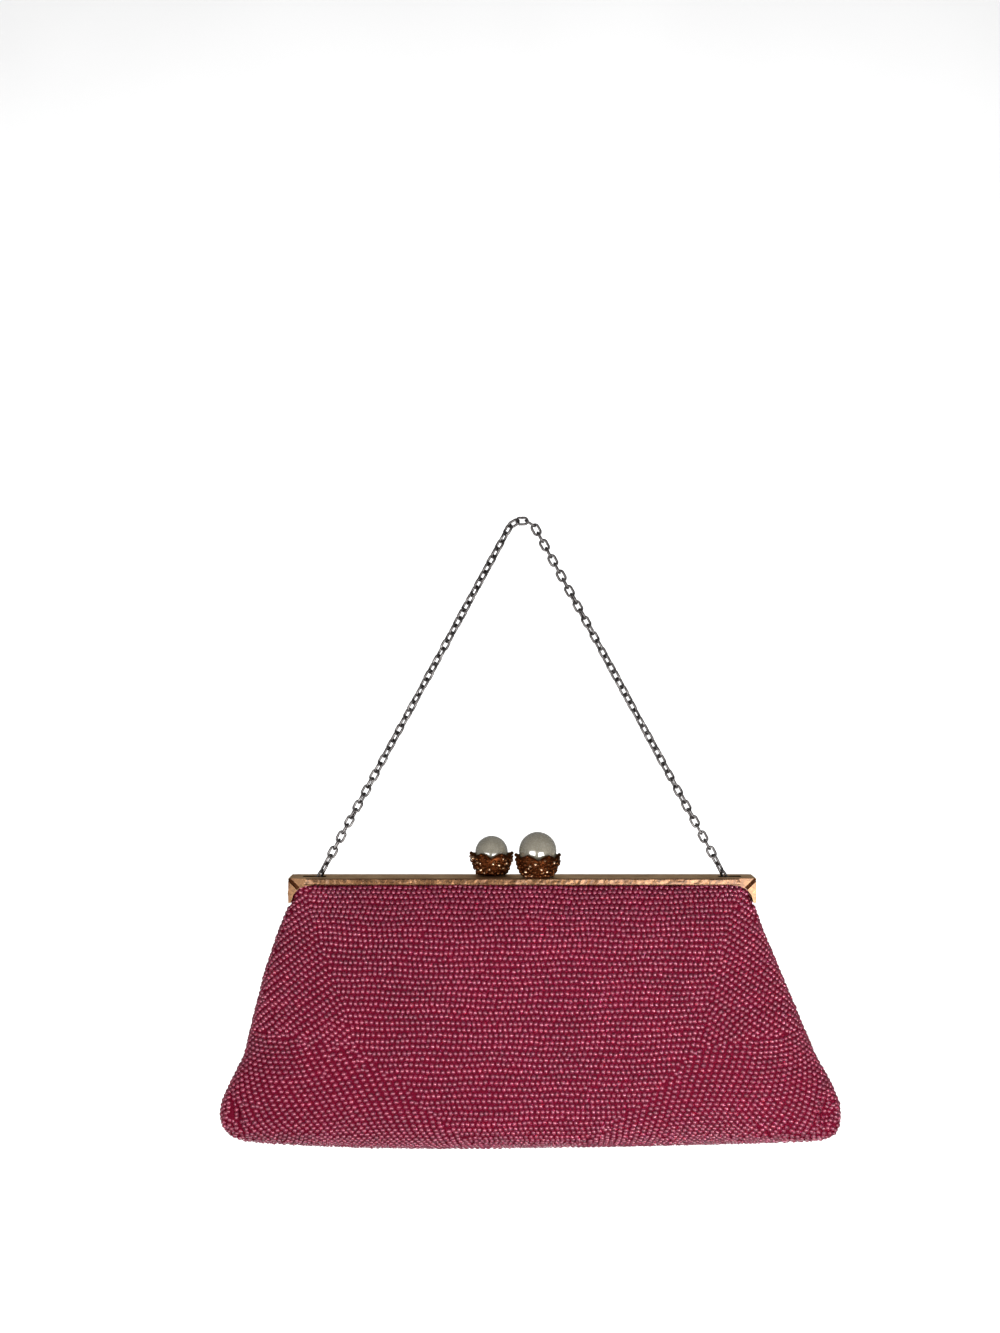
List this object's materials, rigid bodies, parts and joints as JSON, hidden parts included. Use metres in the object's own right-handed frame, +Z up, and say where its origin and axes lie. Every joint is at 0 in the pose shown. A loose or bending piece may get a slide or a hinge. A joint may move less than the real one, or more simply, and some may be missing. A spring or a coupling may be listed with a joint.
{
  "type": "beaded clutch",
  "caption": "Soft beaded evening clutch that widens downwards, on a hinged gilt frame with a pearl kiss-lock clasp, hanging by a fine chain.",
  "frame": {"origin": "where the top of the chain is held", "axes": "+Z up, +X to the right seen from the front, the front faces -Y"},
  "size_m": [0.2164, 0.0384, 0.2187],
  "materials": {
    "beaded_cloth": "glossy raspberry seed beads on dark cloth",
    "gilt_frame": "worn gilt, finely chased lip",
    "antique_gilt": "dark antique gilt with bright granules",
    "pearl": "grey cream imitation pearl",
    "dark_chain": "darkened silver-tone wire"
  },
  "bodies": {
    "root": {"pouch": "beaded_cloth", "frame_front": "gilt_frame", "frame_back": "gilt_frame", "hinge_rivet_left": "gilt_frame", "hinge_rivet_right": "gilt_frame", "clasp_cup_left": "antique_gilt", "clasp_cup_right": "antique_gilt", "pearl_left": "pearl", "pearl_right": "pearl", "chain": "dark_chain"}
  },
  "joints": []
}
